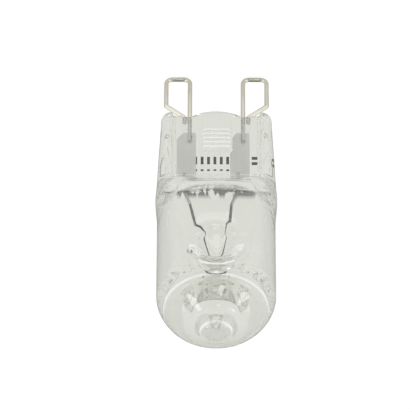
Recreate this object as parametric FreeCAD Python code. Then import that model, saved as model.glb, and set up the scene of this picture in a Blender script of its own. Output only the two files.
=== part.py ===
"""Halogen capsule bulb: a press-sealed quartz envelope on two wire loop pins, with foils and filament.

Frame in millimetres: X across the two pins, Y through the thickness of the press seal, Z along the
lamp axis. The origin is on the axis in the plane where the pins enter the quartz, and +Z goes to
the nose.
"""
import math
import os

import FreeCAD
import Part
from FreeCAD import Vector

# Bulb: the round part of the envelope
tube_diameter = 13.55
tube_wall = 1.15
tube_end = 30.9                 # where the round tube turns into the nose
nose_corner_radius = 1.8
nose_slope = 28.0               # degrees, cone of the nose above the flat
nose_inner_corner_radius = 0.9
nose_inner_slope = 16.0         # degrees
nose_wall = 1.5                 # at the corner of the nose

# Exhaust tip, where the bulb was pumped out and melted shut
tip_radius = 2.0
tip_height = 5.2                # above the end of the round tube
tip_base_fillet = 0.9
tip_end_fillet = 0.8
tip_bore_radius = 0.5
tip_bore_depth = 1.0            # above the inside of the nose
tip_bore_cone = 0.5

# Press seal: the flat end that was pressed round the foils
pinch_length = 12.0
pinch_width = 13.64             # where it meets the shoulder
pinch_end_width = 12.9          # at the pins
pinch_thickness = 4.0           # over the side rails
pinch_corner_radius = 1.1
pinch_root = 0.4                # how far the press seal runs on into the shoulder
rail_width = 1.75
web_thickness = 2.7             # floor to floor of the two pressed fields
field_end_rise = 1.2            # crown of the field's end towards the pins

# Wavy end of the press seal: height of the glass edge at each distance from the axis
end_crown = -0.1                # middle bump
end_flank = 0.1                 # side of the middle bump
end_flank_reach = 1.9           # distance of that side from the axis
end_notch = 0.62                # dips where the wires come out
end_shoulder = 0.42             # outer bumps
end_edge = 0.9                  # just inside the outer corners
end_edge_inset = 0.18
end_corner = 1.6                # past the outer corners
end_overhang = 0.4              # how far past them the wave is drawn

# Ribbed centre panel, on the front face
panel_width = 3.3
panel_thickness = 3.5
panel_end = 7.4
rib_count = 5
rib_pitch = 0.72
rib_radius = 0.24
rib_first = 4.05

# Shoulder from the flat press seal to the round tube
shoulder_length = 5.5
shoulder_bulge = 0.2
shoulder_lip = 0.2              # how far it stands proud of the rails where it starts
shoulder_side_lip = 0.08        # how far it stands proud of their outer sides
shoulder_squareness = 7.0       # exponent of the outline where it leaves the press seal
shoulder_stations = 6
outline_points = 20
cavity_start = 12.5
cavity_width = 9.0              # narrow end of the hollow, inside the shoulder
cavity_depth = 0.8

# Dimples pressed in from front and back, and the glass post where they meet
dimple_setback = 5.6            # their axis, from the end of the round tube
dimple_depth = 5.5
dimple_tip_width = 1.35
dimple_mouth_length = 4.6       # along the lamp axis, at the outside of the tube
dimple_mouth_width = 6.6
dimple_mouth_rise = 2.6         # of the mouth toward the nose, from the tip
dimple_wall = 0.9
post_radius = 0.9               # glass post that carries the filament's bend

# Wire loop pins
pin_spacing = 9.0
pin_wire_diameter = 0.52
loop_pitch = 2.78               # between the two legs of one loop
loop_height = 6.75
loop_bend_radius = 0.75         # wire centre
loop_return_height = 1.85       # where the outer leg turns back to the glass
loop_return_gap = 0.62          # return end from the inner leg, at the glass
loop_entry_height = 0.12        # where the return end turns into the glass
loop_return_bend_radius = 0.35
loop_return_depth = 1.85        # return end inside the glass
loop_leg_depth = 4.8            # inner leg inside the glass, welded to the foil

# Sealing foils
foil_width = 2.25
foil_thickness = 0.05
foil_start = 3.3                # narrow welded end
foil_full_start = 4.3           # full width from here
foil_end = 11.7
foil_top_width = 1.4
foil_side_shift = 0.38          # both foils sit to one side of the pins
weld_flat = 0.03                # how far a welded wire is pressed flat

# Inner leads and filament
lead_diameter = 0.36
lead_start = 10.2
lead_knee = 13.1                # where the leads lean inwards
lead_knee_radius = 0.5
lead_end = 15.4
lead_lean = 0.75                # how far inwards by their tops
lead_side_shift = 0.25          # both leads sit to one side of their foils
coil_diameter = 0.32
coil_clearance = 0.05           # between the coil's bend and the glass post

tube_radius = tube_diameter / 2
cavity_radius = tube_radius - tube_wall
tip_top = tube_end + tip_height
dimple_height = tube_end - dimple_setback
shoulder_end = pinch_length + shoulder_length
wire_radius = pin_wire_diameter / 2
lead_radius = lead_diameter / 2
coil_radius = coil_diameter / 2
foil_front = wire_radius - weld_flat
lead_depth = foil_front + weld_flat - lead_radius
field_half_width = pinch_width / 2 - rail_width
overrun = 2.0                   # cutting tools reach this far past what they cut


def polygon_face(points):
    """Flat face inside straight edges through the points."""
    return Part.Face(Part.makePolygon(points + points[:1]))


def revolve_about_axis(edges):
    """Solid of revolution about Z from a closed run of edges in the XZ plane."""
    face = Part.Face(Part.Wire(edges))
    return face.revolve(Vector(0, 0, 0), Vector(0, 0, 1), 360)


def both_sides(shape):
    """The shape and its mirror image through the XZ plane."""
    return [shape, shape.mirror(Vector(0, 0, 0), Vector(0, 1, 0))]


def line(start, end):
    return Part.LineSegment(start, end).toShape()


def arc(start, middle, end):
    return Part.Arc(start, middle, end).toShape()


def outline(half_width, half_depth, squareness, height):
    """Closed oval outline at a height; squareness 2 is an ellipse and more is boxier."""
    power = 2 / squareness
    points = []
    for index in range(outline_points):
        angle = 2 * math.pi * index / outline_points
        across = math.copysign(abs(math.cos(angle)) ** power, math.cos(angle))
        through = math.copysign(abs(math.sin(angle)) ** power, math.sin(angle))
        points.append(Vector(half_width * across, half_depth * through, height))
    curve = Part.BSplineCurve()
    steps = [float(index) for index in range(outline_points + 1)]
    curve.interpolate(Points=points, PeriodicFlag=True, Parameters=steps)
    return Part.Wire([curve.toShape()])


def circle_wire(radius, height):
    return Part.Wire([Part.makeCircle(radius, Vector(0, 0, height))])


def blend(low, high, share):
    """Smooth change from low to high as share goes from 0 to 1."""
    return low + (high - low) * share * share * (3 - 2 * share)


def shoulder_loft(start, width, depth, radius, bulge):
    """Loft from a flat outline at start to a circle at the shoulder's end."""
    sections = []
    for index in range(shoulder_stations - 1):
        share = index / (shoulder_stations - 1)
        height = start + (shoulder_end - start) * share
        half_width = blend(width / 2, radius, share) + bulge * math.sin(math.pi * share)
        half_depth = depth / 2 + (radius - depth / 2) * share
        squareness = blend(shoulder_squareness, 2.0, share)
        sections.append(outline(half_width, half_depth, squareness, height))
    sections.append(circle_wire(radius, shoulder_end))
    return Part.makeLoft(sections, True, False)


def rounded_rectangle(width, depth, radius, height):
    """Wire of a rectangle with round corners, at a height."""
    across = width / 2 - radius
    through = depth / 2 - radius
    diagonal = radius * math.sqrt(0.5)
    edges = []
    corners = [(1, 1), (-1, 1), (-1, -1), (1, -1)]
    ends = []
    for side_x, side_y in corners:
        along = Vector(side_x * width / 2, side_y * through, height)
        middle = Vector(side_x * (across + diagonal), side_y * (through + diagonal), height)
        over = Vector(side_x * across, side_y * depth / 2, height)
        start, end = (along, over) if side_x * side_y > 0 else (over, along)
        ends.append((start, middle, end))
    for index, (start, middle, end) in enumerate(ends):
        edges.append(arc(start, middle, end))
        edges.append(line(end, ends[(index + 1) % len(ends)][0]))
    return Part.Wire(edges)


def pinch_end_block():
    """Slab with a fully rounded, wavy end, lofted across the width of the press seal."""
    half_width = pinch_end_width / 2
    notch = pin_spacing / 2 - loop_pitch / 2 + loop_return_gap / 2
    shoulder = (notch + half_width) / 2
    wave = [
        (0.0, end_crown),
        (end_flank_reach, end_flank),
        (notch, end_notch),
        (shoulder, end_shoulder),
        (half_width - end_edge_inset, end_edge),
        (half_width + end_overhang, end_corner),
    ]
    stations = [(-x, z) for x, z in reversed(wave[1:])] + wave
    radius = pinch_thickness / 2
    top = pinch_length + pinch_root
    sections = []
    for x, z in stations:
        front = Vector(x, -radius, z + radius)
        end = Vector(x, 0, z)
        back = Vector(x, radius, z + radius)
        back_top = Vector(x, radius, top)
        front_top = Vector(x, -radius, top)
        edges = [arc(front, end, back), line(back, back_top), line(back_top, front_top)]
        sections.append(Part.Wire(edges + [line(front_top, front)]))
    return Part.makeLoft(sections, True, False)


def pressed_field():
    """Tool for the front pressed field: between the rails, with a crowned end."""
    low = min(end_crown, end_shoulder, 0.0) - overrun
    half = field_half_width
    side_top = pinch_length + pinch_root
    crown = side_top - field_end_rise
    corners = [Vector(-half, -overrun - pinch_thickness, z) for z in (low, side_top)]
    corners += [Vector(half, -overrun - pinch_thickness, z) for z in (side_top, low)]
    crest = Vector(0, -overrun - pinch_thickness, crown)
    edges = [
        line(corners[0], corners[1]),
        arc(corners[1], crest, corners[2]),
        line(corners[2], corners[3]),
        line(corners[3], corners[0]),
    ]
    floor_depth = web_thickness / 2
    field = Part.Face(Part.Wire(edges))
    return field.extrude(Vector(0, overrun + pinch_thickness - floor_depth, 0))


def centre_panel():
    """Block that the front field leaves standing."""
    low = min(end_crown, end_shoulder, 0.0) - 2 * overrun
    corner = Vector(-panel_width / 2, -panel_thickness / 2, low)
    return Part.makeBox(panel_width, (panel_thickness - web_thickness) / 2, panel_end - low, corner)


def panel_ribs():
    """Round ribs across the centre panel."""
    ribs = []
    for index in range(rib_count):
        height = rib_first + index * rib_pitch
        start = Vector(-panel_width / 2, -panel_thickness / 2, height)
        ribs.append(Part.makeCylinder(rib_radius, panel_width, start, Vector(1, 0, 0)))
    return ribs


def pinch():
    """Press seal with rails, pressed fields, ribbed centre panel and wavy end."""
    low = min(end_crown, end_shoulder, 0.0) - overrun
    top = pinch_length + pinch_root
    taper = (pinch_width - pinch_end_width) / pinch_length
    bottom_outline = rounded_rectangle(
        pinch_end_width + taper * low, pinch_thickness, pinch_corner_radius, low
    )
    top_outline = rounded_rectangle(
        pinch_end_width + taper * top, pinch_thickness, pinch_corner_radius, top
    )
    block = Part.makeLoft([bottom_outline, top_outline], True, True)
    block = block.common(pinch_end_block())
    front_field, back_field = both_sides(pressed_field())
    block = block.cut([front_field.cut(centre_panel()), back_field])
    return block.fuse(panel_ribs())


def nose_profile(radius, corner, slope, top, outer):
    """Edges from the shoulder's end to the axis: tube, round corner and sloping nose."""
    tilt = math.radians(slope)
    centre = Vector(radius - corner, 0, top)
    half_turn = (math.pi / 2 - tilt) / 2
    corner_start = Vector(radius, 0, top)
    corner_middle = centre + Vector(math.cos(half_turn), 0, math.sin(half_turn)) * corner
    corner_end = centre + Vector(math.sin(tilt), 0, math.cos(tilt)) * corner
    neck_height = corner_end.z + (corner_end.x - outer) * math.tan(tilt)
    neck = Vector(outer, 0, neck_height)
    foot = Vector(radius, 0, shoulder_end)
    edges = [
        line(Vector(0, 0, shoulder_end), foot),
        line(foot, corner_start),
        arc(corner_start, corner_middle, corner_end),
        line(corner_end, neck),
    ]
    return edges, neck


def dimple_funnel(thickness):
    """Oval funnel of the front dimple, leaning toward the nose, grown by a thickness of glass."""
    sections = []
    for reach in (0.0, dimple_depth + overrun):
        share = reach / dimple_depth
        width = dimple_tip_width + (dimple_mouth_width - dimple_tip_width) * share
        half_width = width / 2 + thickness
        half_length = width / 2 * dimple_mouth_length / dimple_mouth_width + thickness
        height = dimple_height + dimple_mouth_rise * share
        centre = Vector(0, dimple_depth - tube_radius - reach, height)
        oval = Part.Ellipse(centre + Vector(half_width, 0, 0), centre + Vector(0, 0, half_length), centre)
        sections.append(Part.Wire([oval.toShape()]))
    return Part.makeLoft(sections, True, True)


def dimple_post():
    """Round glass post across the hollow, between the tips of the two dimples."""
    half_length = tube_radius - dimple_depth
    return Part.makeCylinder(post_radius, 2 * half_length, Vector(0, -half_length, dimple_height), Vector(0, 1, 0))


def bulb():
    """Round tube with nose, exhaust tip and the mouths of the two dimples."""
    edges, neck = nose_profile(tube_radius, nose_corner_radius, nose_slope, tube_end, tip_radius)
    rim = Vector(tip_radius, 0, tip_top)
    top = Vector(0, 0, tip_top)
    edges += [line(neck, rim), line(rim, top), line(top, Vector(0, 0, shoulder_end))]
    body = revolve_about_axis(edges)
    body = body.makeFillet(tip_base_fillet, circles_at(body, neck.z, tip_radius))
    body = body.makeFillet(tip_end_fillet, circles_at(body, tip_top, tip_radius))
    return body.cut(both_sides(dimple_funnel(0.0)))


def circles_at(shape, height, radius):
    """Round edges of a shape about Z, at a height and of a radius."""
    found = []
    for edge in shape.Edges:
        box = edge.BoundBox
        level = abs(box.ZMin - height) < 1e-4 and abs(box.ZMax - height) < 1e-4
        if level and abs(box.XMax - radius) < 1e-3:
            found.append(edge)
    return found


def cavity():
    """Hollow of the bulb: shoulder, tube, nose and exhaust bore, less the dimples' walls."""
    hollow = shoulder_loft(cavity_start, cavity_width, cavity_depth, cavity_radius, 0.0)
    top = tube_end + nose_corner_radius - nose_wall
    edges, neck = nose_profile(
        cavity_radius, nose_inner_corner_radius, nose_inner_slope, top, tip_bore_radius
    )
    bore_top = Vector(tip_bore_radius, 0, neck.z + tip_bore_depth)
    point = Vector(0, 0, bore_top.z + tip_bore_cone)
    edges += [line(neck, bore_top), line(bore_top, point), line(point, Vector(0, 0, shoulder_end))]
    room = revolve_about_axis(edges)
    room = room.cut(both_sides(dimple_funnel(dimple_wall)) + [dimple_post()])
    return hollow.fuse(room)


def bend(points, radii):
    """Wire through points in space with a round bend of the given radius at each inner point."""
    edges = []
    start = points[0]
    for index in range(1, len(points) - 1):
        before = (points[index - 1] - points[index]).normalize()
        after = (points[index + 1] - points[index]).normalize()
        half = before.getAngle(after) / 2
        reach = radii[index - 1] / math.tan(half)
        inward = (before + after).normalize()
        middle_reach = radii[index - 1] / math.sin(half) - radii[index - 1]
        arc_start = points[index] + before * reach
        arc_end = points[index] + after * reach
        edges.append(line(start, arc_start))
        edges.append(arc(arc_start, points[index] + inward * middle_reach, arc_end))
        start = arc_end
    edges.append(line(start, points[-1]))
    return Part.Wire(edges)


def rod(path, radius):
    """Round rod along a path: a cylinder on each straight run and a part ring on each bend."""
    pieces = []
    for edge in path.Edges:
        start = edge.valueAt(edge.FirstParameter)
        direction = edge.tangentAt(edge.FirstParameter)
        if isinstance(edge.Curve, Part.Line):
            pieces.append(Part.makeCylinder(radius, edge.Length, start, direction))
        else:
            section = Part.Face(Part.Wire([Part.makeCircle(radius, start, direction)]))
            turn = math.degrees(edge.LastParameter - edge.FirstParameter)
            pieces.append(section.revolve(edge.Curve.Center, edge.Curve.Axis, turn))
    return pieces[0].multiFuse(pieces[1:]).removeSplitter()


def pin_loop(side):
    """One pin: inner leg, top bar, outer leg and the return end, bent from one wire."""
    inner = side * (pin_spacing - loop_pitch) / 2
    outer = side * (pin_spacing + loop_pitch) / 2
    back = inner + side * loop_return_gap
    crest = -loop_height + wire_radius
    points = [
        Vector(inner, 0, loop_leg_depth),
        Vector(inner, 0, crest),
        Vector(outer, 0, crest),
        Vector(outer, 0, -loop_return_height),
        Vector(back, 0, loop_entry_height),
        Vector(back, 0, loop_return_depth),
    ]
    radii = [loop_bend_radius, loop_bend_radius, loop_return_bend_radius, loop_return_bend_radius]
    return rod(bend(points, radii), wire_radius)


def foil_centre(side):
    return side * (pin_spacing - loop_pitch) / 2 + foil_side_shift


def seal_foil(side):
    """Thin foil with a narrowed end where the pin's inner leg is welded on."""
    centre = foil_centre(side)
    weld = side * (pin_spacing - loop_pitch) / 2
    half = foil_width / 2
    top = foil_top_width / 2
    points = [
        Vector(weld - top, foil_front, foil_start),
        Vector(weld + top, foil_front, foil_start),
        Vector(centre + half, foil_front, foil_full_start),
        Vector(centre + half, foil_front, foil_end),
        Vector(centre - half, foil_front, foil_end),
        Vector(centre - half, foil_front, foil_full_start),
    ]
    return polygon_face(points).extrude(Vector(0, foil_thickness, 0))


def lead_points(side):
    """Weld, knee and top of one inner lead."""
    place = foil_centre(side) + lead_side_shift
    top = Vector(place - side * lead_lean, lead_depth, lead_end)
    return [Vector(place, lead_depth, lead_start), Vector(place, lead_depth, lead_knee), top]


def inner_lead(side):
    """Lead from the foil up into the hollow of the bulb, leaning inwards at its top."""
    return rod(bend(lead_points(side), [lead_knee_radius]), lead_radius)


def filament():
    """Coil as a plain rod: two legs from the leads and a bend round the nose side of the glass post."""
    bend_radius = post_radius + coil_radius + coil_clearance
    centre = Vector(0, lead_depth, dimple_height)
    ends = []
    touches = []
    for side in (1, -1):
        end = lead_points(side)[-1]
        reach = centre - end
        turn = math.acos(bend_radius / reach.Length)
        facing = math.atan2(end.z - centre.z, end.x - centre.x)
        angle = facing + side * turn
        ends.append(end)
        touches.append(centre + Vector(math.cos(angle), 0, math.sin(angle)) * bend_radius)
    crest = centre + Vector(0, 0, bend_radius)
    edges = [line(ends[0], touches[0]), arc(touches[0], crest, touches[1]), line(touches[1], ends[1])]
    return rod(Part.Wire(edges), coil_radius)


def quartz_envelope(metal):
    """Press seal, shoulder and bulb in one, hollowed, and closed round the sealed-in metal."""
    lip_width = pinch_width + 2 * shoulder_side_lip
    lip_depth = pinch_thickness + 2 * shoulder_lip
    shoulder = shoulder_loft(pinch_length, lip_width, lip_depth, tube_radius, shoulder_bulge)
    body = pinch().fuse([shoulder, bulb()])
    body = body.cut(cavity())
    return body.cut(metal)


def main():
    os.makedirs("parts", exist_ok=True)
    nodes = {}
    for name, side in (("left", 1), ("right", -1)):
        foil = seal_foil(side)
        nodes["seal_foil_" + name] = foil
        nodes["pin_loop_" + name] = pin_loop(side).cut(foil)
        nodes["inner_lead_" + name] = inner_lead(side).cut(foil)
    sealed = list(nodes.values())
    nodes["filament"] = filament().cut(sealed)
    nodes["quartz_envelope"] = quartz_envelope(sealed)
    for name, shape in nodes.items():
        shape.exportStep("parts/" + name + ".step")
        print(name, shape.ShapeType, len(shape.Solids), shape.isValid(), round(shape.Volume, 3))


main()
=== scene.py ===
"""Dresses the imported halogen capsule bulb: quartz envelope, wire pins, foils, leads and coil filament."""
import math

import bpy
import numpy as np
from mathutils import Matrix, Vector


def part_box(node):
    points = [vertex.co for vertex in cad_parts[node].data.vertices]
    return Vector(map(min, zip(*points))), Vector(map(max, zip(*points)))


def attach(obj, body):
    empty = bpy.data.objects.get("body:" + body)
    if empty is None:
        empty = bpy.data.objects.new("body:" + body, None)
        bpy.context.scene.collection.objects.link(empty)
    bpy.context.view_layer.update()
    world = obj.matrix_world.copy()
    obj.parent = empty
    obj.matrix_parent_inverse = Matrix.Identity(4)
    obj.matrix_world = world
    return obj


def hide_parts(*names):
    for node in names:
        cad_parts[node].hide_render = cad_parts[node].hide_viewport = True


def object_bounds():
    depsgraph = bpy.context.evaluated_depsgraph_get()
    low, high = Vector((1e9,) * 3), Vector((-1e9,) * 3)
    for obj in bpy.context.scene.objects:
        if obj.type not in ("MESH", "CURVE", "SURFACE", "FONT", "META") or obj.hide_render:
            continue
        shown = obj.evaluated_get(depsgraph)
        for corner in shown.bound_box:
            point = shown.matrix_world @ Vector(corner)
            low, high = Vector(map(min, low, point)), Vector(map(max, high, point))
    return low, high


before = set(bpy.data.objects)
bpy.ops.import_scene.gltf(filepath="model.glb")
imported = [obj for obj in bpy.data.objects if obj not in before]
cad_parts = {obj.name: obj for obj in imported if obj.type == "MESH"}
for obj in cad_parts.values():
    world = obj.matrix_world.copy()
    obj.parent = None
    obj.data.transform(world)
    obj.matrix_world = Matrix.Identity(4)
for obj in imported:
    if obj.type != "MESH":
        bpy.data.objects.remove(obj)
cad_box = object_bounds()

MM = 0.001
PHOTO = 412                       # pixels, both ways

# Camera, from the photograph
VIEW_ELEVATION = 46.4             # degrees above the plane across the lamp axis, on the -Y side
VIEW_DISTANCE = 600.0             # mm
VIEW_FOCUS = 5223.0               # focal length in pixels of the photograph
VIEW_TARGET = (1.18, 0.0, 15.1)   # mm, the point at the middle of the picture
VIEW_ROLL = 0.2                   # degrees, how far the lamp axis leans in the picture

# Sizes of the quartz in mm, as in the solids
envelope_low, envelope_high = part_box("quartz_envelope")
SURFACE_MARGIN = 0.003            # kept inside the solid
TUBE_RADIUS = envelope_high[1] / MM - SURFACE_MARGIN
TIP_SWELL = 0.11                  # added to the tip's end by its rounded base
TIP_TOP = envelope_high[2] / MM - TIP_SWELL
TUBE_WALL = 1.15
CAVITY_RADIUS = TUBE_RADIUS - TUBE_WALL
TUBE_END = 30.9
NOSE_CORNER = 1.8
NOSE_SLOPE = math.radians(28.0)
NOSE_HIGHLIGHT_RING = (42.0, 53.0)          # degrees round the corner, where a highlight is painted as a clear ring
TIP_HIGHLIGHT_RING = (25.0, 50.0)           # the same round the tip's end
NOSE_BULGE = 0.15                 # of the fire-polished cone
NOSE_INNER_END = 31.2
NOSE_INNER_CORNER = 0.9
NOSE_INNER_SLOPE = math.radians(16.0)
TIP_RADIUS = 2.0
TIP_BASE_ROUND = 0.9
TIP_END_ROUND = 0.8
BORE_RADIUS = 0.5
BORE_TOP = 34.4
BORE_ROUND = 0.35

SEAL_LENGTH = 12.0
SEAL_HALF_WIDTH = 6.82            # at the shoulder
SEAL_END_HALF_WIDTH = 6.45        # at the pins
SEAL_HALF_DEPTH = 2.0             # over the rails
SEAL_EDGE_ROUND = 1.4
SEAL_CORNER_ROUND = 0.8           # of the end's corners
SEAL_CORNER_SPAN = (0.8, 3.0)     # where the one goes over into the other
SEAL_END_ROUND = 1.7
FIELD_HALF_WIDTH = 5.07
FIELD_HALF_DEPTH = 1.35
FIELD_END_RISE = 0.8
PANEL_HALF_WIDTH = 1.65
PANEL_HALF_DEPTH = 1.75
PANEL_END = 7.4
PANEL_FLARE = 1.0                 # wider at the pins, by this much on each side
PANEL_FLARE_SOFTNESS = 0.8
PANEL_FLARE_SPAN = (0.4, 2.6)
RIB_COUNT = 5
RIB_PITCH = 0.72
RIB_FIRST = 4.2
RIB_HEIGHT = 0.28
RIB_SPREAD = 0.15
RIB_HIGHLIGHT_HALF_WIDTH = 0.1                   # half the width of the highlight painted as clear glass on its crest
EDGE_SOFTNESS = 0.2               # half the width of a moulded step

SHOULDER_SLOPE = 0.83             # depth gained for each mm of height
SHOULDER_START_ROUND = 0.5
SHOULDER_BULGE = 0.2
SHOULDER_BULGE_HEIGHT = 14.7
SHOULDER_BULGE_SPREAD = 2.2
SHOULDER_TOP_ROUND = 1.2
SHOULDER_WIDTH_SPAN = 6.0         # height over which the seal's width goes over into the tube's
SHOULDER_EDGE_SPAN = 4.0          # height over which its edges do
SHOULDER_LEAN_SPAN = 0.5          # height below and above its start where the slope is taken up
CAVITY_START = 12.5
CAVITY_HALF_WIDTH = 4.5
CAVITY_HALF_DEPTH = 0.4
CAVITY_WIDENING = 0.45
CAVITY_SLOPE = 1.05
CAVITY_FLOOR_ROUND = 0.35
CAVITY_SIDE_ROUND = 0.6
CAVITY_FOOT = 1.0                 # how far its walls run on below its floor

# Wavy end of the press seal
END_CROWN = -0.1
END_CROWN_SPREAD = 2.5
END_SHOULDER = 0.3
END_SHOULDER_PLACE = 5.0
END_SHOULDER_SPREAD = 1.2
END_NOTCH = 0.62

# Dimples and the glass post between them
DIMPLE_HEIGHT = 25.3
DIMPLE_DEPTH = 5.475              # of the round tip's centre, below the outside of the tube
DIMPLE_TIP_RADIUS = 0.45
DIMPLE_SPREAD = math.radians(19.0)
DIMPLE_SLANT = 0.46               # rise of the funnel toward the nose for each mm outward
DIMPLE_NARROWNESS = 0.84          # length of the funnel's oval for each mm of width
DIMPLE_RIM_ROUND = 1.0
DIMPLE_WALL = 0.75
POST_RADIUS = 0.9
POST_ROOT_ROUND = 0.6

# Mesh of the quartz
GRID_STEP = 0.2
GRID_FINE_STEP = 0.1              # along the axis, over the ribs
GRID_MARGIN = 0.4
RELAX_ROUNDS = 2
SLOPE_STEP = 0.002                # for the slope of the field
SLOPE_LEAST = 0.05                # square of the slope, taken at least
SETTLE_REACH = 0.15               # longest move of a point in one round

QUARTZ_INDEX = 1.458              # of refraction

# Greyness of the quartz, carried by its outer face alone
QUARTZ_TINT = (0.69, 0.697, 0.64)
TINT_VARIATION = 0.03
PALE_SHARE = 0.55                 # of that greyness, on the nose side of the back dimple
NOSE_SHARE = 1.2                  # of that greyness, on the thicker glass of the nose
NOSE_FADE = (31.6, 32.6)          # mm, where it comes in
CLEAR_TINT = (0.985, 0.985, 0.98)

# Smoky marks that the press leaves inside, at the bottom of the hollow, in mm
SMOKE_TINT = (0.05, 0.05, 0.05)
SMOKE_START = (12.3, 12.5)        # where they come in
SMOKE_END = (12.9, 13.3)          # where they fade out
SMOKE_GRAIN = 0.8                 # size of one mark
SMOKE_STRETCH = (1.0, 0.3, 0.3)
SMOKE_CUT = (0.41, 0.47)          # levels of the noise between which a mark comes in

# Plain bars printed on the back of the press seal, in mm
PRINT_ROWS = [(6.7, 8.0), (8.85, 9.2)]   # lower and upper edge of each row
PRINT_HALF_WIDTH = 2.6
PRINT_PITCH = 0.74
PRINT_SHARE = 0.45                # of the pitch that is inked
PRINT_MARK = (-5.1, -4.1)         # across, two bars beside the rows
PRINT_MARK_ROWS = [(6.7, 7.2), (7.6, 8.1)]
PRINT_INK = 0.003

SEALED_WIRE = (0.66, 0.66, 0.64)  # grey of the pin wire inside the glass
SEALED_FADE = 0.3                 # mm over which it comes in

# Surroundings: levels as seen directly and through glass, in mirrors, and as light on things
FLOOR_HALF = 600.0                # mm
FLOOR_COLOUR = (0.25, 0.25, 0.25)
FLOOR_SEEN = 0.88
FLOOR_MIRRORED = (0.72, 0.08)     # from the front to the back of the bulb
FLOOR_MIRROR_SPAN = (-8.0, 8.0)   # mm
WORLD_SEEN = 1.0
WORLD_MIRRORED = (0.12, 1.1)      # from the middle to the two sides
WORLD_LIGHTING = 0.6
LIGHT_BOUNCES = 48                # passes through and inside the quartz

# Soft lamps: place and size in mm, power in watts
LAMP_TARGET = (0.0, 0.0, 15.0)
LAMPS = {
    "softbox_left": ((190.0, 40.0, 345.0), 60.0, 0.062),
    "softbox_right": ((-220.0, 30.0, 335.0), 70.0, 0.08),
    "softbox_top": ((-45.0, -80.0, 390.0), 45.0, 0.036),
    "softbox_front": ((0.0, -340.0, 170.0), 50.0, 0.03),
}

# Coil of the filament
COIL_RADIUS = 0.16
COIL_WIRE_RADIUS = 0.03
COIL_PITCH = 0.1
COIL_TURN_POINTS = 12
COIL_SIDES = 6


def smooth_step(low, high, value):
    share = np.clip((value - low) / (high - low), 0.0, 1.0)
    return share * share * (3.0 - 2.0 * share)


def round_max(first, second, radius):
    """Common part of two fields, its edge rounded to a radius."""
    rounding = np.hypot(np.maximum(first + radius, 0.0), np.maximum(second + radius, 0.0))
    return np.minimum(np.maximum(first, second), -radius) + rounding


def round_min(first, second, radius):
    """Union of two fields, the corner between them filled to a radius."""
    rounding = np.hypot(np.maximum(radius - first, 0.0), np.maximum(radius - second, 0.0))
    return np.maximum(np.minimum(first, second), radius) - rounding


def soft_ramp(value, softness):
    """Zero below 0 and value above it, with a soft start."""
    return 0.5 * (value + np.sqrt(value * value + softness * softness))


def nose_cone(radius, height, tube, corner, slope, end):
    """Distance above the cone that closes a tube, tangent to the rounded corner at its end."""
    edge_radius = tube - corner + corner * math.sin(slope)
    edge_height = end + corner * math.cos(slope)
    return (height - edge_height) * math.cos(slope) + (radius - edge_radius) * math.sin(slope)


def seal_half_depth(x, y, z):
    """Half thickness of the press seal: rails, pressed fields, and the front's centre panel and ribs."""
    across = np.abs(x)
    crest = SEAL_LENGTH - FIELD_END_RISE * (1.0 - (x / FIELD_HALF_WIDTH) ** 2)
    field = 1.0 - smooth_step(FIELD_HALF_WIDTH - EDGE_SOFTNESS, FIELD_HALF_WIDTH + EDGE_SOFTNESS, across)
    field = field * (1.0 - smooth_step(crest - EDGE_SOFTNESS, crest + EDGE_SOFTNESS, z))
    flare = 1.0 - smooth_step(*PANEL_FLARE_SPAN, z)
    half_width = PANEL_HALF_WIDTH + PANEL_FLARE * flare
    softness = EDGE_SOFTNESS + PANEL_FLARE_SOFTNESS * flare
    panel = 1.0 - smooth_step(half_width - softness, half_width + softness, across)
    panel = panel * (1.0 - smooth_step(PANEL_END - EDGE_SOFTNESS, PANEL_END + EDGE_SOFTNESS, z))
    panel = panel * (y < 0.0)
    depth = SEAL_HALF_DEPTH - field * (SEAL_HALF_DEPTH - FIELD_HALF_DEPTH)
    depth = depth + panel * (PANEL_HALF_DEPTH - FIELD_HALF_DEPTH)
    for index in range(RIB_COUNT):
        height = RIB_FIRST + index * RIB_PITCH
        depth = depth + panel * RIB_HEIGHT * np.exp(-((z - height) / RIB_SPREAD) ** 2)
    return depth


def end_height(x):
    """Height of the wavy glass edge at the pins."""
    crown = (END_CROWN - END_NOTCH) * np.exp(-(x / END_CROWN_SPREAD) ** 2)
    side = np.exp(-((np.abs(x) - END_SHOULDER_PLACE) / END_SHOULDER_SPREAD) ** 2)
    return END_NOTCH + crown + (END_SHOULDER - END_NOTCH) * side


def dimple_middle(y):
    """Height of the slanted dimples' axis."""
    outward = np.abs(y) - (TUBE_RADIUS - DIMPLE_DEPTH)
    return DIMPLE_HEIGHT + DIMPLE_SLANT * np.maximum(outward, 0.0)


def dimple_field(x, y, z):
    """Distance outside the slanted oval funnel with a round tip, on the side of y."""
    outward = np.abs(y) - (TUBE_RADIUS - DIMPLE_DEPTH)
    beside = np.hypot(x * DIMPLE_NARROWNESS, z - dimple_middle(y))
    side = beside * math.cos(DIMPLE_SPREAD) - outward * math.sin(DIMPLE_SPREAD)
    at_tip = outward * math.cos(DIMPLE_SPREAD) + beside * math.sin(DIMPLE_SPREAD) < 0.0
    return np.where(at_tip, np.hypot(beside, outward), side) - DIMPLE_TIP_RADIUS


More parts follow.
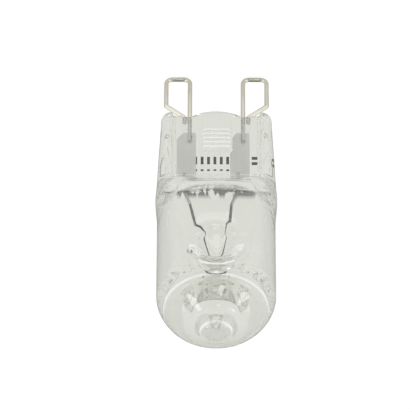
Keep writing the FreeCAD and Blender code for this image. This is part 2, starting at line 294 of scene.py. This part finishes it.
def outer_field(x, y, z):
    """Negative inside the outer surface of the envelope."""
    radius = np.hypot(x, y)
    taper = smooth_step(0.0, SEAL_LENGTH, z)
    wide = SEAL_END_HALF_WIDTH + (SEAL_HALF_WIDTH - SEAL_END_HALF_WIDTH) * taper
    widening = smooth_step(SEAL_LENGTH, SEAL_LENGTH + SHOULDER_WIDTH_SPAN, z)
    wide = wide + (TUBE_RADIUS - SEAL_HALF_WIDTH) * widening
    wide = wide + SHOULDER_BULGE * np.exp(-((z - SHOULDER_BULGE_HEIGHT) / SHOULDER_BULGE_SPREAD) ** 2)
    cone = nose_cone(radius, z, TUBE_RADIUS, NOSE_CORNER, NOSE_SLOPE, TUBE_END)
    share = np.clip((radius - TIP_RADIUS) / (TUBE_RADIUS - TIP_RADIUS), 0.0, 1.0)
    cone = cone - NOSE_BULGE * 4.0 * share * (1.0 - share)
    body = round_max(radius - wide, cone, NOSE_CORNER)
    tip = round_max(radius - TIP_RADIUS, z - TIP_TOP, TIP_END_ROUND)
    body = round_min(body, tip, TIP_BASE_ROUND)
    rise = SHOULDER_SLOPE * soft_ramp(z - SEAL_LENGTH, SHOULDER_START_ROUND)
    sloping = smooth_step(SEAL_LENGTH - SHOULDER_LEAN_SPAN, SEAL_LENGTH + SHOULDER_LEAN_SPAN, z)
    lean = 1.0 + (1.0 / math.hypot(1.0, SHOULDER_SLOPE) - 1.0) * sloping
    slab = (np.abs(y) - seal_half_depth(x, y, z) - rise) * lean
    edge = SEAL_CORNER_ROUND + (SEAL_EDGE_ROUND - SEAL_CORNER_ROUND) * smooth_step(*SEAL_CORNER_SPAN, z)
    rising = smooth_step(SEAL_LENGTH, SEAL_LENGTH + SHOULDER_EDGE_SPAN, z)
    edge = edge + (SHOULDER_TOP_ROUND - SEAL_EDGE_ROUND) * rising
    slab = round_max(slab, end_height(x) - z, SEAL_END_ROUND)
    body = round_max(body, slab, edge)
    return round_max(body, -dimple_field(x, y, z), DIMPLE_RIM_ROUND)


def cavity_field(x, y, z):
    """Negative inside the hollow of the bulb."""
    radius = np.hypot(x, y)
    cone = nose_cone(radius, z, CAVITY_RADIUS, NOSE_INNER_CORNER, NOSE_INNER_SLOPE, NOSE_INNER_END)
    room = round_max(radius - CAVITY_RADIUS, cone, NOSE_INNER_CORNER)
    bore = round_max(radius - BORE_RADIUS, z - BORE_TOP, BORE_ROUND)
    room = round_min(room, bore, BORE_ROUND)
    above = z - CAVITY_START
    reach = np.maximum(above, -CAVITY_FOOT)
    slab = np.abs(y) - CAVITY_HALF_DEPTH - CAVITY_SLOPE * reach
    slab = slab / math.hypot(1.0, CAVITY_SLOPE)
    room = round_max(room, slab, SHOULDER_TOP_ROUND)
    sides = np.abs(x) - CAVITY_HALF_WIDTH - CAVITY_WIDENING * reach
    room = round_max(room, sides, CAVITY_SIDE_ROUND)
    room = round_max(room, -above, CAVITY_FLOOR_ROUND)
    post = np.hypot(x, z - DIMPLE_HEIGHT) - POST_RADIUS
    glass = round_min(dimple_field(x, y, z) - DIMPLE_WALL, post, POST_ROOT_ROUND)
    return round_max(room, -glass, POST_ROOT_ROUND)


def quartz_field(points):
    """Negative inside the quartz, at an array of points in mm."""
    x, y, z = points[..., 0], points[..., 1], points[..., 2]
    return np.maximum(outer_field(x, y, z), -cavity_field(x, y, z))


def field_slope(points):
    """Gradient of the quartz field at points, by central differences."""
    slope = np.empty_like(points)
    for axis in range(3):
        offset = np.zeros(3)
        offset[axis] = SLOPE_STEP
        slope[:, axis] = (quartz_field(points + offset) - quartz_field(points - offset)) / (2 * SLOPE_STEP)
    return slope


def settle(points, rounds=4):
    """Points moved onto the surface where the field is zero."""
    for _ in range(rounds):
        slope = field_slope(points)
        size = np.maximum(np.sum(slope * slope, axis=1), SLOPE_LEAST)
        move = (quartz_field(points) / size)[:, None] * slope
        length = np.linalg.norm(move, axis=1, keepdims=True)
        points = points - move * (SETTLE_REACH / np.maximum(length, SETTLE_REACH))
    return points


def grid_lines():
    """Grid coordinates along each axis, finer over the ribs."""
    half_x = SEAL_HALF_WIDTH + SHOULDER_BULGE + GRID_MARGIN
    half_y = TUBE_RADIUS + GRID_MARGIN
    low = END_CROWN - GRID_MARGIN
    rib_low = RIB_FIRST - RIB_PITCH
    rib_high = PANEL_END + RIB_PITCH
    across = np.arange(-half_x, half_x + GRID_STEP, GRID_STEP)
    through = np.arange(-half_y, half_y + GRID_STEP, GRID_STEP)
    along = np.concatenate([
        np.arange(low, rib_low, GRID_STEP),
        np.arange(rib_low, rib_high, GRID_FINE_STEP),
        np.arange(rib_high, TIP_TOP + GRID_MARGIN + GRID_STEP, GRID_STEP),
    ])
    return across, through, along


def surface_net():
    """Points and quads of the quartz surface: one point in each grid cell that the surface crosses."""
    lines = grid_lines()
    grid = np.stack(np.meshgrid(*lines, indexing="ij"), axis=-1)
    values = quartz_field(grid)
    counts = [len(line) - 1 for line in lines]
    corners = [(i, j, k) for i in (0, 1) for j in (0, 1) for k in (0, 1)]
    inside = np.zeros(counts, dtype=np.int8)
    for i, j, k in corners:
        inside += values[i:i + counts[0], j:j + counts[1], k:k + counts[2]] < 0
    cells = np.argwhere((inside > 0) & (inside < 8))
    number = np.full(counts, -1, dtype=np.int64)
    number[tuple(cells.T)] = np.arange(len(cells))
    total = np.zeros((len(cells), 3))
    found = np.zeros(len(cells))
    for corner in corners:
        for axis in range(3):
            if corner[axis]:
                continue
            start = tuple((cells + corner).T)
            step = np.zeros(3, dtype=int)
            step[axis] = 1
            end = tuple((cells + corner + step).T)
            first, second = values[start], values[end]
            crossed = (first < 0) != (second < 0)
            share = np.where(crossed, first / np.where(crossed, first - second, 1.0), 0.0)
            place = grid[start] + (grid[end] - grid[start]) * share[:, None]
            total += place * crossed[:, None]
            found += crossed
    points = total / found[:, None]
    quads = []
    for axis in range(3):
        side, other = (axis + 1) % 3, (axis + 2) % 3
        low = [slice(None)] * 3
        high = [slice(None)] * 3
        low[axis] = slice(0, -1)
        high[axis] = slice(1, None)
        first, second = values[tuple(low)] < 0, values[tuple(high)] < 0
        for leaving in (True, False):
            edges = np.argwhere((first == leaving) & (second != leaving))
            inner = np.all((edges[:, [side, other]] > 0), axis=1)
            inner &= (edges[:, side] < counts[side]) & (edges[:, other] < counts[other])
            edges = edges[inner]
            ring = [(-1, -1), (0, -1), (0, 0), (-1, 0)]
            if not leaving:
                ring = ring[::-1]
            face = []
            for step_side, step_other in ring:
                cell = edges.copy()
                cell[:, side] += step_side
                cell[:, other] += step_other
                face.append(number[tuple(cell.T)])
            quads.append(np.stack(face, axis=1))
    return points, np.concatenate(quads)


def relax(points, quads):
    """Points evened out along the surface."""
    pairs = np.concatenate([quads[:, [k, (k + 1) % 4]] for k in range(4)])
    for _ in range(RELAX_ROUNDS):
        total = np.zeros_like(points)
        count = np.zeros(len(points))
        np.add.at(total, pairs[:, 0], points[pairs[:, 1]])
        np.add.at(count, pairs[:, 0], 1)
        points = settle(0.5 * points + 0.5 * total / count[:, None], rounds=2)
    return points


def add_mesh(name, points, faces, materials):
    """Smooth mesh piece in metres, riding on the bulb."""
    mesh = bpy.data.meshes.new(name)
    mesh.from_pydata([tuple(p) for p in points], [], [tuple(int(i) for i in f) for f in faces])
    mesh.polygons.foreach_set("use_smooth", [True] * len(mesh.polygons))
    mesh.update()
    piece = bpy.data.objects.new(name, mesh)
    bpy.context.scene.collection.objects.link(piece)
    for material in materials:
        mesh.materials.append(material)
    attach(piece, "root")
    return piece


def new_material(name):
    """Material, its node tree and its shader."""
    material = bpy.data.materials.new(name)
    material.use_nodes = True
    tree = material.node_tree
    shader = tree.nodes["Principled BSDF"]
    return material, tree, shader


def plug(tree, socket, value):
    """Socket set to a plain number or colour, or linked to another socket."""
    if isinstance(value, float):
        socket.default_value = value
    elif isinstance(value, tuple):
        socket.default_value = (*value, 1.0)
    else:
        tree.links.new(value, socket)


def axes(tree, kind="Object"):
    """X, Y and Z of the shaded place, or with Generated of the direction into the world."""
    place = tree.nodes.new("ShaderNodeTexCoord")
    split = tree.nodes.new("ShaderNodeSeparateXYZ")
    tree.links.new(place.outputs[kind], split.inputs["Vector"])
    return [split.outputs[axis] for axis in "XYZ"]


def in_metres(lengths):
    """Lengths in mm as metres."""
    return tuple(length * MM for length in lengths)


def noise(tree, scale, detail=3.0, stretch=(1.0, 1.0, 1.0)):
    """Noise over the object's own coordinates, stretched along the axes."""
    place = tree.nodes.new("ShaderNodeTexCoord")
    mapping = tree.nodes.new("ShaderNodeMapping")
    mapping.inputs["Scale"].default_value = stretch
    texture = tree.nodes.new("ShaderNodeTexNoise")
    texture.inputs["Scale"].default_value = scale
    texture.inputs["Detail"].default_value = detail
    tree.links.new(place.outputs["Object"], mapping.inputs["Vector"])
    tree.links.new(mapping.outputs["Vector"], texture.inputs["Vector"])
    return texture.outputs["Fac"]


def ramp(tree, value, stops):
    """Colour ramp on a value; stops are (place, colour)."""
    node = tree.nodes.new("ShaderNodeValToRGB")
    elements = node.color_ramp.elements
    elements[0].position, elements[0].color = stops[0][0], (*stops[0][1], 1.0)
    elements[1].position, elements[1].color = stops[-1][0], (*stops[-1][1], 1.0)
    for place, colour in stops[1:-1]:
        elements.new(place).color = (*colour, 1.0)
    tree.links.new(value, node.inputs["Fac"])
    return node.outputs["Color"]


def bump(tree, shader, height, strength, distance):
    """Surface of a shader roughened by a height, its distance in metres."""
    node = tree.nodes.new("ShaderNodeBump")
    node.inputs["Strength"].default_value = strength
    node.inputs["Distance"].default_value = distance
    tree.links.new(height, node.inputs["Height"])
    tree.links.new(node.outputs["Normal"], shader.inputs["Normal"])


def math_node(tree, operation, *values):
    """Maths on sockets or plain numbers."""
    node = tree.nodes.new("ShaderNodeMath")
    node.operation = operation
    for socket, value in zip(node.inputs, values):
        plug(tree, socket, value)
    return node.outputs["Value"]


def map_range(tree, value, source, target):
    """Value carried from one range to another, and kept inside it."""
    node = tree.nodes.new("ShaderNodeMapRange")
    node.inputs["From Min"].default_value, node.inputs["From Max"].default_value = source
    node.inputs["To Min"].default_value, node.inputs["To Max"].default_value = target
    tree.links.new(value, node.inputs["Value"])
    return node.outputs["Result"]


def inside(tree, value, low, high):
    """1 where a length in metres is between two lengths in mm."""
    above = math_node(tree, "GREATER_THAN", value, low * MM)
    below = math_node(tree, "LESS_THAN", value, high * MM)
    return math_node(tree, "MULTIPLY", above, below)


def print_mask(tree, x, y, z):
    """1 on the inked bars at the back of the press seal."""
    turn = math_node(tree, "FRACT", math_node(tree, "DIVIDE", x, PRINT_PITCH * MM))
    bars = math_node(tree, "LESS_THAN", turn, PRINT_SHARE)
    bars = math_node(tree, "MULTIPLY", bars, inside(tree, x, -PRINT_HALF_WIDTH, PRINT_HALF_WIDTH))
    mark = inside(tree, x, *PRINT_MARK)
    ink = 0.0
    for across, rows in ((bars, PRINT_ROWS), (mark, PRINT_MARK_ROWS)):
        for row in rows:
            printed = math_node(tree, "MULTIPLY", across, inside(tree, z, *row))
            ink = math_node(tree, "MAXIMUM", printed, ink)
    back = math_node(tree, "GREATER_THAN", y, FIELD_HALF_DEPTH / 2 * MM)
    return math_node(tree, "MULTIPLY", ink, back)


def painted_rib_highlights(tree, x, y, z):
    """1 on the crests of the ribs, where a highlight is painted as clear glass."""
    lines = 0.0
    for index in range(RIB_COUNT):
        height = RIB_FIRST + index * RIB_PITCH
        lines = math_node(tree, "MAXIMUM", inside(tree, z, height - RIB_HIGHLIGHT_HALF_WIDTH, height + RIB_HIGHLIGHT_HALF_WIDTH), lines)
    panel = inside(tree, x, -PANEL_HALF_WIDTH, PANEL_HALF_WIDTH)
    front = math_node(tree, "LESS_THAN", y, 0.0)
    return math_node(tree, "MULTIPLY", lines, math_node(tree, "MULTIPLY", panel, front))


def painted_ring_highlights(tree, z):
    """1 on the rings round the corner of the nose and the end of the tip, where highlights are painted as
    clear glass.
    """
    places = [
        (TUBE_END, NOSE_CORNER, NOSE_HIGHLIGHT_RING),
        (TIP_TOP - TIP_END_ROUND, TIP_END_ROUND, TIP_HIGHLIGHT_RING),
    ]
    rings = 0.0
    for centre, radius, angles in places:
        low, high = [centre + radius * math.sin(math.radians(angle)) for angle in angles]
        rings = math_node(tree, "MAXIMUM", inside(tree, z, low, high), rings)
    return rings


def blend(tree, share, first, second):
    """Colour between two, each a socket or a plain colour."""
    node = tree.nodes.new("ShaderNodeMixRGB")
    plug(tree, node.inputs["Fac"], share)
    plug(tree, node.inputs["Color1"], first)
    plug(tree, node.inputs["Color2"], second)
    return node.outputs["Color"]


def glass_material(name):
    """Fused quartz without its colour, with faint drawing ripples."""
    material, tree, shader = new_material(name)
    shader.inputs["Transmission Weight"].default_value = 1.0
    shader.inputs["Roughness"].default_value = 0.0
    shader.inputs["IOR"].default_value = QUARTZ_INDEX
    bump(tree, shader, noise(tree, 220.0, 2.0, (1.0, 1.0, 0.35)), strength=0.1, distance=0.00003)
    return material, tree, shader


def clouded(tree, colour):
    """Colour with a faint cloudy variation."""
    darker = tuple(part * (1.0 - TINT_VARIATION) for part in colour)
    return ramp(tree, noise(tree, 160.0), [(0.3, darker), (0.7, colour)])


def quartz_grey(share):
    """Tint with a share of the quartz's greyness."""
    return tuple(part ** share for part in QUARTZ_TINT)


def pale_material():
    """Less grey face of the quartz."""
    material, tree, shader = glass_material("quartz_pale")
    tree.links.new(clouded(tree, quartz_grey(PALE_SHARE)), shader.inputs["Base Color"])
    return material


def inner_material():
    """Inner face of the quartz: clear, with smoky press marks at the bottom of the hollow."""
    material, tree, shader = glass_material("quartz_inside")
    height = axes(tree)[2]
    start = map_range(tree, height, in_metres(SMOKE_START), (0.0, 1.0))
    end = map_range(tree, height, in_metres(SMOKE_END), (1.0, 0.0))
    grain = noise(tree, 1.0 / (SMOKE_GRAIN * MM), 2.0, SMOKE_STRETCH)
    marks = map_range(tree, grain, SMOKE_CUT, (0.0, 1.0))
    smoke = math_node(tree, "MULTIPLY", marks, math_node(tree, "MULTIPLY", start, end))
    tree.links.new(blend(tree, smoke, clouded(tree, CLEAR_TINT), SMOKE_TINT), shader.inputs["Base Color"])
    return material


def quartz_material():
    """Outer face of the quartz, a little grey, with highlights painted as clear glass on the rib crests and
    rings, and the printed bars.
    """
    material, tree, shader = glass_material("quartz")
    x, y, z = axes(tree)
    nose = map_range(tree, z, in_metres(NOSE_FADE), (0.0, 1.0))
    colour = blend(tree, nose, clouded(tree, QUARTZ_TINT), clouded(tree, quartz_grey(NOSE_SHARE)))
    # clear glass on the rib crests and on the nose and tip rings is painted highlight
    clear = math_node(tree, "MAXIMUM", painted_rib_highlights(tree, x, y, z), painted_ring_highlights(tree, z))
    colour = blend(tree, clear, colour, CLEAR_TINT)
    colour = blend(tree, print_mask(tree, x, y, z), colour, (PRINT_INK,) * 3)
    tree.links.new(colour, shader.inputs["Base Color"])
    return material


def wire_material():
    """Bright drawn pin wire, faintly yellow, with a few darker stained places, and grey in the seal."""
    material, tree, shader = new_material("pin_wire")
    shader.inputs["Metallic"].default_value = 1.0
    colour = ramp(tree, noise(tree, 300.0, 2.0), [
        (0.25, (0.60, 0.56, 0.41)), (0.4, (0.86, 0.83, 0.69)), (0.7, (0.93, 0.91, 0.80))])
    sealed = map_range(tree, axes(tree)[2], in_metres((END_NOTCH, END_NOTCH + SEALED_FADE)), (0.0, 1.0))
    colour = blend(tree, sealed, colour, SEALED_WIRE)
    tree.links.new(colour, shader.inputs["Base Color"])
    shader.inputs["Roughness"].default_value = 0.16
    bump(tree, shader, noise(tree, 2500.0, 2.0, (1.0, 1.0, 0.06)), strength=0.15, distance=0.00002)
    return material


def foil_material():
    """Rolled sealing foil, satin, with fine rolling lines."""
    material, tree, shader = new_material("seal_foil")
    shader.inputs["Metallic"].default_value = 0.85
    colour = ramp(tree, noise(tree, 700.0, 4.0, (1.0, 1.0, 0.25)), [
        (0.3, (0.88, 0.88, 0.88)), (0.7, (0.95, 0.95, 0.95))])
    tree.links.new(colour, shader.inputs["Base Color"])
    shader.inputs["Roughness"].default_value = 0.4
    bump(tree, shader, noise(tree, 4000.0, 2.0, (1.0, 1.0, 0.03)), strength=0.3, distance=0.00002)
    return material


def lead_material():
    """Inner lead wire, drawn and a little oxidised."""
    material, tree, shader = new_material("lead_wire")
    shader.inputs["Metallic"].default_value = 1.0
    colour = ramp(tree, noise(tree, 900.0), [(0.35, (0.55, 0.55, 0.53)), (0.65, (0.75, 0.75, 0.73))])
    tree.links.new(colour, shader.inputs["Base Color"])
    shader.inputs["Roughness"].default_value = 0.35
    bump(tree, shader, noise(tree, 3000.0, 2.0, (1.0, 1.0, 0.08)), strength=0.2, distance=0.00002)
    return material


def filament_material():
    """Dark recrystallised filament wire."""
    material, tree, shader = new_material("filament")
    shader.inputs["Metallic"].default_value = 0.8
    colour = ramp(tree, noise(tree, 2500.0), [(0.35, (0.20, 0.20, 0.19)), (0.65, (0.44, 0.435, 0.42))])
    tree.links.new(colour, shader.inputs["Base Color"])
    shader.inputs["Roughness"].default_value = 0.45
    return material


def make_envelope():
    """Quartz as one closed mesh: grey outside, clear inside, and clearer on parts of the dimples."""
    points, quads = surface_net()
    points = relax(settle(points), quads)
    materials = [quartz_material(), inner_material(), pale_material()]
    piece = add_mesh("quartz_body", points * MM, quads, materials)
    x, y, z = points[quads].mean(axis=1).T
    within = np.abs(cavity_field(x, y, z)) < np.abs(outer_field(x, y, z))
    dimple = dimple_field(x, y, z) < DIMPLE_RIM_ROUND / 2
    front = y < 0.0
    nose_side = z > dimple_middle(y)
    clear = within | (dimple & (front == nose_side))
    pale = dimple & nose_side & ~front
    face = np.where(clear, 1, np.where(pale, 2, 0))
    piece.data.polygons.foreach_set("material_index", face.astype(np.int32))
    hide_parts("quartz_envelope")


def coil_route():
    """Evenly spaced points in mm along the coil's axis: leg, bend round the post, leg."""
    low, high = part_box("filament")
    depth = (low[1] + high[1]) / 2 / MM
    bend_radius = high[2] / MM - COIL_RADIUS - DIMPLE_HEIGHT
    left_low, left_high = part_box("inner_lead_left")
    right_low, right_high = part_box("inner_lead_right")
    lead_radius = (left_high[1] - left_low[1]) / 2
    tops = [(left_low[0] + lead_radius, left_high[2]), (right_high[0] - lead_radius, right_high[2])]
    ends = [(x / MM, z / MM) for x, z in tops]
    turns = []
    for side, (x, z) in zip((1, -1), ends):
        reach = math.hypot(x, z - DIMPLE_HEIGHT)
        turns.append(math.atan2(z - DIMPLE_HEIGHT, x) + side * math.acos(bend_radius / reach))
    sweep = (turns[1] - turns[0]) % (2 * math.pi)

    def on_bend(angle):
        return bend_radius * math.cos(angle), DIMPLE_HEIGHT + bend_radius * math.sin(angle)

    def on_leg(start, end, share):
        return tuple(a + (b - a) * share for a, b in zip(start, end))

    first, last = on_bend(turns[0]), on_bend(turns[1])
    runs = [
        (math.dist(ends[0], first), lambda share: on_leg(ends[0], first, share)),
        (bend_radius * sweep, lambda share: on_bend(turns[0] + sweep * share)),
        (math.dist(last, ends[1]), lambda share: on_leg(last, ends[1], share)),
    ]
    route = []
    for length, place in runs:
        count = max(2, round(length * COIL_TURN_POINTS / COIL_PITCH))
        for index in range(count):
            x, z = place(index / count)
            route.append((x, depth, z))
    return np.array(route)


def make_filament():
    """Coil wound round its route, as one tube of round wire."""
    route = coil_route()
    along = np.gradient(route, axis=0)
    along /= np.linalg.norm(along, axis=1, keepdims=True)
    across = np.array([0.0, 1.0, 0.0])
    side = np.cross(along, across)
    angle = 2 * math.pi * np.arange(len(route)) / COIL_TURN_POINTS
    middle = COIL_RADIUS - COIL_WIRE_RADIUS
    wire = route + middle * (np.cos(angle)[:, None] * side + np.sin(angle)[:, None] * across)
    outward = (wire - route) / middle
    points = []
    for k in range(COIL_SIDES):
        turn = 2 * math.pi * k / COIL_SIDES
        points.append(wire + COIL_WIRE_RADIUS * (math.cos(turn) * outward + math.sin(turn) * along))
    points = np.stack(points, axis=1).reshape(-1, 3)
    faces = []
    for row in range(len(route) - 1):
        for k in range(COIL_SIDES):
            after = (k + 1) % COIL_SIDES
            base = row * COIL_SIDES
            faces.append((base + k, base + after, base + COIL_SIDES + after, base + COIL_SIDES + k))
    last = (len(route) - 1) * COIL_SIDES
    faces.append(tuple(range(COIL_SIDES))[::-1])
    faces.append(tuple(last + k for k in range(COIL_SIDES)))
    piece = add_mesh("filament_coil", points * MM, faces, [filament_material()])
    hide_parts("filament")


def dress_metal():
    """Materials on the metal solids that show as they are."""
    finish = {"pin_loop": wire_material(), "seal_foil": foil_material(), "inner_lead": lead_material()}
    for name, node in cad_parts.items():
        for start, material in finish.items():
            if name.startswith(start):
                mesh = node.data
                mesh.materials.clear()
                mesh.materials.append(material)
                smooth = start != "seal_foil"
                mesh.polygons.foreach_set("use_smooth", [smooth] * len(mesh.polygons))


def seen_level(tree, seen, mirrored, lighting):
    """Light level of a surround: as seen directly and through glass, in mirrors, and as light on things."""
    path = tree.nodes.new("ShaderNodeLightPath")
    direct = math_node(tree, "MAXIMUM", path.outputs["Is Camera Ray"], path.outputs["Is Transmission Ray"])
    level = lighting
    for share, strength in ((path.outputs["Is Glossy Ray"], mirrored), (direct, seen)):
        mix = tree.nodes.new("ShaderNodeMix")
        plug(tree, mix.inputs["Factor"], share)
        plug(tree, mix.inputs["A"], level)
        plug(tree, mix.inputs["B"], strength)
        level = mix.outputs["Result"]
    return level


def make_floor():
    """Pale floor under the pins, white to the camera, with a soft shadow."""
    half = FLOOR_HALF * MM
    height = cad_box[0][2]
    mesh = bpy.data.meshes.new("floor")
    corners = [(-half, -half, height), (half, -half, height), (half, half, height), (-half, half, height)]
    mesh.from_pydata(corners, [], [(0, 1, 2, 3)])
    floor = bpy.data.objects.new("floor", mesh)
    bpy.context.scene.collection.objects.link(floor)
    material = bpy.data.materials.new("floor")
    material.use_nodes = True
    tree = material.node_tree
    tree.nodes.clear()
    output = tree.nodes.new("ShaderNodeOutputMaterial")
    matt = tree.nodes.new("ShaderNodeBsdfDiffuse")
    plug(tree, matt.inputs["Color"], FLOOR_COLOUR)
    glow = tree.nodes.new("ShaderNodeEmission")
    mirrored = map_range(tree, axes(tree)[1], in_metres(FLOOR_MIRROR_SPAN), FLOOR_MIRRORED)
    plug(tree, glow.inputs["Strength"], seen_level(tree, FLOOR_SEEN, mirrored, 0.0))
    both = tree.nodes.new("ShaderNodeAddShader")
    tree.links.new(matt.outputs["BSDF"], both.inputs[0])
    tree.links.new(glow.outputs["Emission"], both.inputs[1])
    tree.links.new(both.outputs["Shader"], output.inputs["Surface"])
    mesh.materials.append(material)


def make_light():
    """White surroundings, in mirrors bright only at the two sides, and soft lamps."""
    world = bpy.data.worlds.new("studio")
    bpy.context.scene.world = world
    world.use_nodes = True
    tree = world.node_tree
    background = tree.nodes["Background"]
    background.inputs["Color"].default_value = (1.0, 1.0, 1.0, 1.0)
    beside = math_node(tree, "ABSOLUTE", axes(tree, "Generated")[0])
    mirrored = map_range(tree, beside, (0.0, 1.0), WORLD_MIRRORED)
    plug(tree, background.inputs["Strength"], seen_level(tree, WORLD_SEEN, mirrored, WORLD_LIGHTING))
    for name, (place, size, power) in LAMPS.items():
        lamp = bpy.data.lights.new(name, "AREA")
        lamp.shape = "SQUARE"
        lamp.size = size * MM
        lamp.energy = power
        holder = bpy.data.objects.new(name, lamp)
        holder.location = in_metres(place)
        aim = Vector(LAMP_TARGET) - Vector(place)
        holder.rotation_euler = aim.to_track_quat("-Z", "Y").to_euler()
        bpy.context.scene.collection.objects.link(holder)


def make_camera():
    """Camera at the photograph's angle, turned so that the nose is at the bottom of the picture."""
    rise = math.radians(VIEW_ELEVATION)
    back = Vector((0.0, -math.cos(rise), math.sin(rise)))
    up = Vector((0.0, -math.sin(rise), -math.cos(rise)))
    right = up.cross(back)
    place = (Vector(VIEW_TARGET) + back * VIEW_DISTANCE) * MM
    camera = bpy.data.cameras.new("camera")
    camera.lens = camera.sensor_width * VIEW_FOCUS / PHOTO
    camera.clip_start = 0.01
    holder = bpy.data.objects.new("camera", camera)
    upright = Matrix((right, up, back)).transposed().to_4x4()
    roll = Matrix.Rotation(math.radians(VIEW_ROLL), 4, "Z")
    holder.matrix_world = Matrix.Translation(place) @ upright @ roll
    bpy.context.scene.collection.objects.link(holder)
    bpy.context.scene.camera = holder


make_envelope()
make_filament()
dress_metal()
make_floor()
make_light()
make_camera()
bpy.context.scene.view_settings.view_transform = "Standard"
bpy.context.scene.cycles.max_bounces = LIGHT_BOUNCES
bpy.context.scene.cycles.glossy_bounces = LIGHT_BOUNCES
bpy.context.scene.cycles.transmission_bounces = LIGHT_BOUNCES
